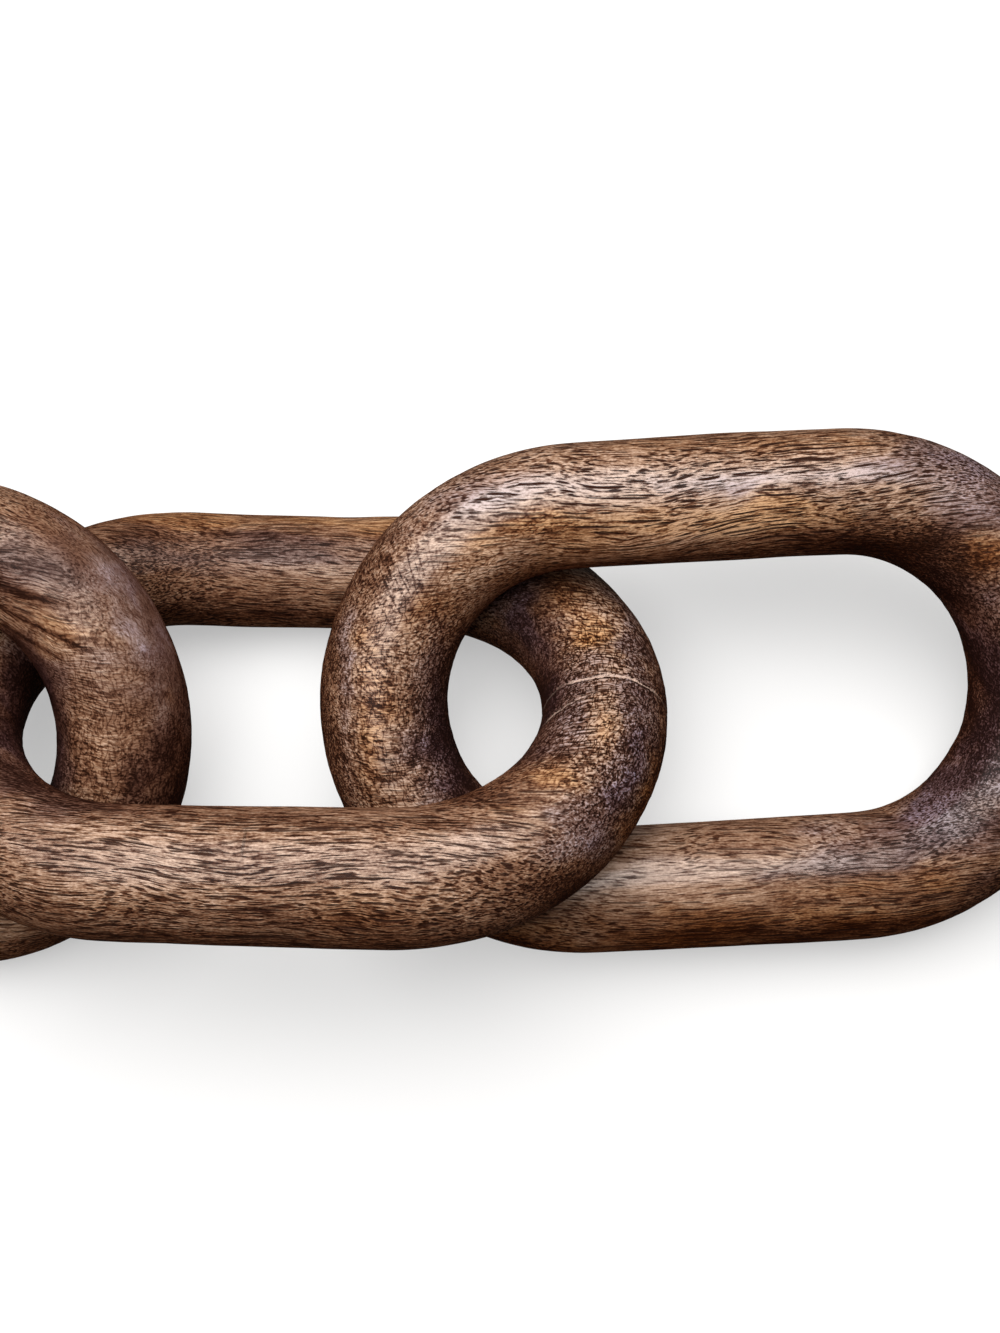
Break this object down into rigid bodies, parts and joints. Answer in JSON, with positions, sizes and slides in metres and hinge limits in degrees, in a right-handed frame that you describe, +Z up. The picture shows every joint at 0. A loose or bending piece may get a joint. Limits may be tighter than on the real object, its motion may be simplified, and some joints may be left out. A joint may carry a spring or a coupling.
{
  "type": "carved wooden chain",
  "caption": "Interlocked oval links carved from round-section stained wood, lying loosely over one another as a tabletop or shelf ornament.",
  "frame": {"origin": "on the table plane, at the middle of the chain's length and depth", "axes": "+X along the chain to the right, +Y away from the viewer, +Z up"},
  "size_m": [0.3293, 0.102, 0.0584],
  "materials": {
    "stained_wood": "satin dark brown stain over open-pored grain"
  },
  "bodies": {
    "root": {"link_left": "stained_wood", "link_middle": "stained_wood", "link_right": "stained_wood"}
  },
  "joints": []
}
